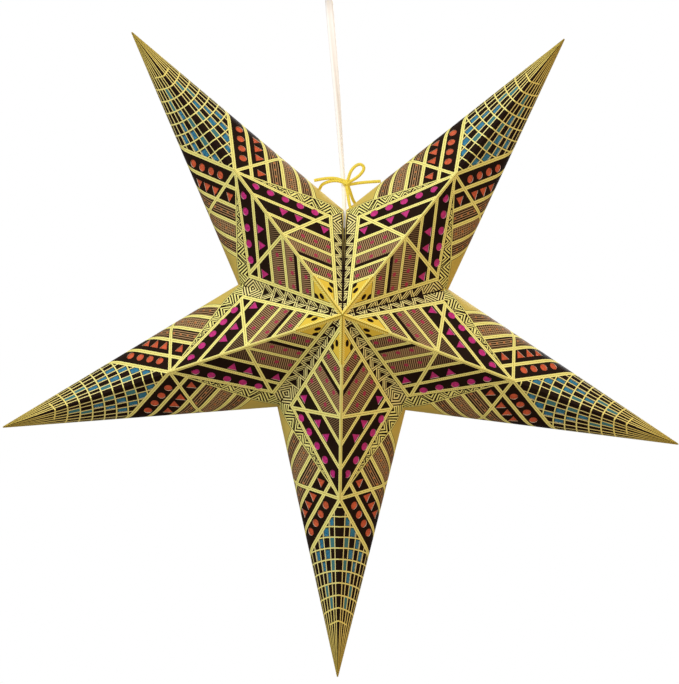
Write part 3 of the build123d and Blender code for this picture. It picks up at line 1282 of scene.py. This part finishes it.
class HangCord(bpy.types.Operator):
    """Lay the flat twin cord that the star hangs from, with the ceiling cover and cord grip"""

    bl_idname = "lantern.hang_cord"
    bl_label = "Hang the cord"

    def execute(self, context):
        look = settings()
        white = tuple(look.cord_colour)
        finish = Finish("cord_jacket")
        sheen = finish.noise(300.0, 2.0)
        jacket = finish.surface(
            Base_Color=finish.mix(0.4 * sheen, (*white, 1), shade(white, 0.9)),
            Roughness=0.38 + 0.12 * sheen,
            Normal=finish.bump(sheen, 0.0001),
            # Painted glow: the jacket gives off a little white light of its own, to show whiter.
            Emission_Color=(*white, 1),
            Emission_Strength=0.22,
        )
        plastic = moulded_plastic("fitting_plastic", tuple(look.plastic), 0.28)
        cover = finished(spun(cover_outline), "fitting_cover", [plastic])
        grip = finished(self.slotted(spun(grip_outline)), "fitting_grip", [plastic])
        for piece, node in ((cover, "ceiling_cover"), (grip, "cord_grip")):
            only(piece)
            bpy.ops.object.shade_smooth_by_angle(angle=radians(40))
            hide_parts(node)
        cord = spline_along("flat_cord", cord_points, cord_turns)
        cord.data.bevel_mode = "OBJECT"
        cord.data.bevel_object = self.section()
        cord.data.use_fill_caps = True
        cord.data.materials.append(jacket)
        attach(cord, "root")
        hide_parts("lamp_cord")
        in_star(cord_points[0])
        return {"FINISHED"}

    def slotted(self, grip):
        """Cuts the flat cord's slot through the grip."""
        slot = added(
            bpy.ops.mesh.primitive_cube_add,
            size=MM,
            location=(0, 0, grip_middle * MM),
            scale=grip_slot,
        )
        apply_modifier(grip, "BOOLEAN", object=slot, operation="DIFFERENCE", solver="EXACT")
        bpy.data.objects.remove(slot)
        return grip

    def section(self):
        """Two round cores side by side, with a web between them."""
        outline = bpy.data.curves.new("cord_section", "CURVE")
        corners = []
        for middle, start in ((core_radius, -120), (-core_radius, 60)):
            for i in range(core_steps + 1):
                c, s = cos_sin(start + core_turn * i / core_steps)
                corners.append((middle + core_radius * c, core_radius * s))
        spline = outline.splines.new("POLY")
        spline.points.add(len(corners) - 1)
        for point, (x, y) in zip(spline.points, corners):
            point.co = (x * MM, y * MM, 0, 1)
        spline.use_cyclic_u = True
        profile = in_scene("cord_section", outline)
        profile.hide_render = True
        profile.hide_viewport = True
        return profile


class FitLamp(bpy.types.Operator):
    """Finish the lamp holder, its cap, the bulb, the ceiling base and the terminal block"""

    bl_idname = "lantern.fit_lamp"
    bl_label = "Fit the lamp"

    def execute(self, context):
        look = settings()
        white = tuple(look.plastic)
        finishes = {
            "holder": moulded_plastic("holder_plastic", white, 0.3),
            "base": moulded_plastic("base_plastic", (0.6, 0.6, 0.58), 0.5),
            "terminal": moulded_plastic("terminal_plastic", (0.72, 0.7, 0.62), 0.5),
            "bulb": moulded_plastic("bulb_glass", (0.92, 0.9, 0.85), 0.12),
        }
        for node, kind in (
            ("lamp_cap", "holder"),
            ("lamp_holder", "holder"),
            ("bulb", "bulb"),
            ("ceiling_base", "base"),
            ("terminal_block", "terminal"),
        ):
            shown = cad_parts[node]
            shown.data.materials.clear()
            shown.data.materials.append(finishes[kind])
        return {"FINISHED"}


# The stage, in metres
floor_size = 5.6
floor_height = -1.25
sky_colour = (1, 0.8, 0.6, 1)
sky_strength = 0.38
# Each lamp's place from the star's centre, size, watts and colour
lamps = {
    "key": ((-1.0, -2.1, 1.9), 1.4, 58.0, (0.98, 0.99, 1.0)),
    "fill": ((1.6, -1.2, -0.3), 1.0, 8.0, (1.0, 0.58, 0.24)),
    "back": ((1.1, 2.2, 1.5), 1.4, 48.0, (0.98, 0.99, 1.0)),
}
lens = 89.46  # millimetres, before a sensor of this width
sensor_width = 36.0
camera_turns = (("Z", -0.0153162), ("X", -0.016559), ("Y", -0.0078198))  # radians
star_from_camera = Vector((3.0962, 20.9239, -1500.0)) * MM


class SetStage(bpy.types.Operator):
    """Set the floor, the lights and the camera"""

    bl_idname = "lantern.set_stage"
    bl_label = "Set the stage"

    def execute(self, context):
        self.floor()
        self.world()
        for name, values in lamps.items():
            self.lamp(name, *values)
        self.camera()
        context.scene.view_settings.view_transform = "Standard"
        return {"FINISHED"}

    def floor(self):
        """A pale floor that shows white and keeps the object's shadow."""
        floor = added(
            bpy.ops.mesh.primitive_plane_add,
            size=floor_size,
            location=(0, 0, floor_height),
        )
        floor.name = "floor"
        finish = Finish("floor")
        diffuse = finish.node("BsdfDiffuse", {}, {"Color": (0.4, 0.4, 0.4, 1)})
        glow = finish.node("Emission", {}, {"Color": (1, 1, 1, 1), "Strength": 1.0})
        seen = finish.node("LightPath", output="Is Camera Ray")
        shown = finish.node("MixShader", {}, {0: 0.8 * seen, 1: diffuse, 2: glow})
        finish.node("OutputMaterial", {}, {"Surface": shown})
        floor.data.materials.append(finish.material)

    def world(self):
        """Even light all round, and white wherever the background is seen."""
        finish = Finish("studio", "worlds")
        seen = finish.node("LightPath", output="Is Camera Ray")
        for ray in ("Is Glossy Ray", "Is Transmission Ray"):
            seen = seen | finish.node("LightPath", output=ray)
        sky = {"Color": sky_colour, "Strength": sky_strength}
        plain = finish.node("Background", {}, sky)
        white = finish.node("Background", {}, {"Color": (1, 1, 1, 1)})
        shown = finish.node("MixShader", {}, {0: seen, 1: plain, 2: white})
        finish.node("OutputWorld", {}, {"Surface": shown})
        bpy.context.scene.world = finish.material

    def lamp(self, name, place, size, watts, colour):
        """A soft square light that looks at the star's centre."""
        light = bpy.data.lights.new(name, "AREA")
        light.size = size
        light.energy = watts
        light.color = colour
        lamp = in_scene(name, light)
        lamp.location = star_centre + Vector(place)
        lamp.rotation_euler = (-Vector(place)).to_track_quat("-Z", "Y").to_euler()

    def camera(self):
        """The photograph's point of view, worked out from the star's tips and valleys."""
        data = bpy.data.cameras.new("camera")
        data.sensor_fit = "HORIZONTAL"
        data.sensor_width = sensor_width
        data.lens = lens
        data.clip_start, data.clip_end = 0.01, 50.0
        camera = in_scene("camera", data)
        turn = Matrix()
        for axis, angle in camera_turns:
            turn = turn @ Matrix.Rotation(angle, 4, axis)
        away = Matrix.Translation(star_from_camera)
        upright = Matrix(((1, 0, 0, 0), (0, 0, 1, 0), (0, -1, 0, 0), (0, 0, 0, 1)))
        seen = away @ turn @ upright @ Matrix.Translation(-star_centre)
        camera.matrix_world = seen.inverted()
        bpy.context.scene.camera = camera


operators = (FoldArms, GlueTissue, TieStrings, HangCord, FitLamp, SetStage)


class LanternPanel(bpy.types.Panel):
    """The lantern's settings and steps"""

    bl_idname = "VIEW3D_PT_lantern"
    bl_label = "Paper Star Lantern"
    bl_space_type = "VIEW_3D"
    bl_region_type = "UI"
    bl_category = "Lantern"

    def draw(self, context):
        for name in LanternSettings.__annotations__:
            self.layout.prop(context.scene.lantern, name)
        for step in operators:
            self.layout.operator(step.bl_idname)


def register():
    """Registers the settings, the steps and the panel."""
    for part in (LanternSettings, *operators, LanternPanel):
        bpy.utils.register_class(part)
    bpy.types.Scene.lantern = PointerProperty(type=LanternSettings)


def unregister():
    """Takes them all out again."""
    del bpy.types.Scene.lantern
    for part in (LanternPanel, *reversed(operators), LanternSettings):
        bpy.utils.unregister_class(part)


def main():
    """Builds the lantern and its stage."""
    register()
    bpy.ops.lantern.hang_cord()
    bpy.ops.lantern.tie_strings()
    bpy.ops.lantern.fold_arms()
    bpy.ops.lantern.glue_tissue()
    bpy.ops.lantern.fit_lamp()
    bpy.ops.lantern.set_stage()


if __name__ == "__main__":
    main()
